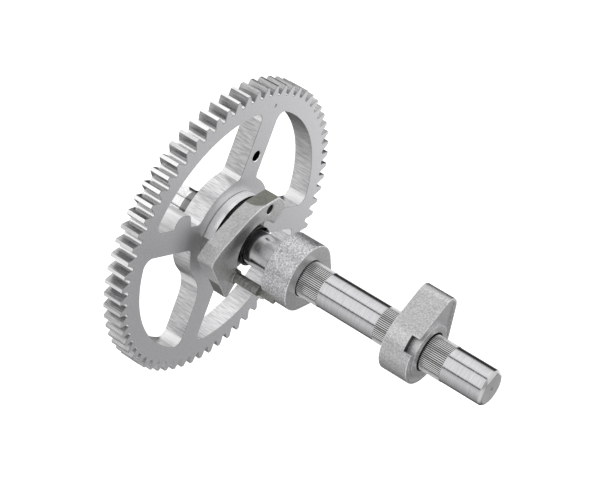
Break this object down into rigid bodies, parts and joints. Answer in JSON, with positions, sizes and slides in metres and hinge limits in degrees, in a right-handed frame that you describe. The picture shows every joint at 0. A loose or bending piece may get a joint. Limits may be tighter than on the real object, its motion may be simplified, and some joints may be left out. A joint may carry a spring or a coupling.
{
  "type": "camshaft",
  "caption": "Small engine camshaft with a spoked timing gear, pressed-on cam lobes, knurled bands, a drive tang and a swinging compression release.",
  "frame": {"origin": "on the shaft's axis, in the plane of the timing gear's front face", "axes": "+Z along the shaft to its free end; the gear's four windows are centred on +X, +Y, -X and -Y"},
  "size_m": [0.136, 0.136, 0.1778],
  "materials": {
    "ground_steel": "ground and polished",
    "gear_steel": "matte faces, hobbed teeth, milled window walls",
    "sintered_steel": "grainy sintered surface",
    "weight_steel": "grainy sintered surface",
    "pin_steel": "dark ground pin",
    "spring_wire": "black spring wire"
  },
  "bodies": {
    "shaft_assembly": {"camshaft": "ground_steel", "timing_gear": "gear_steel", "exhaust_lobe": "sintered_steel", "intake_lobe": "sintered_steel", "return_spring": "spring_wire"},
    "release": {"flyweight": "weight_steel", "release_pin": "pin_steel"}
  },
  "joints": [
    {"name": "release_swing", "type": "hinge", "parent": "shaft_assembly", "child": "release", "pos_m": [-0.00122, 0.01565, 0.0112], "axis": [0, 0, 1], "range_deg": [0, 40], "stiffness_Nm_per_rad": 0.03, "springref_deg": -34.38}
  ]
}
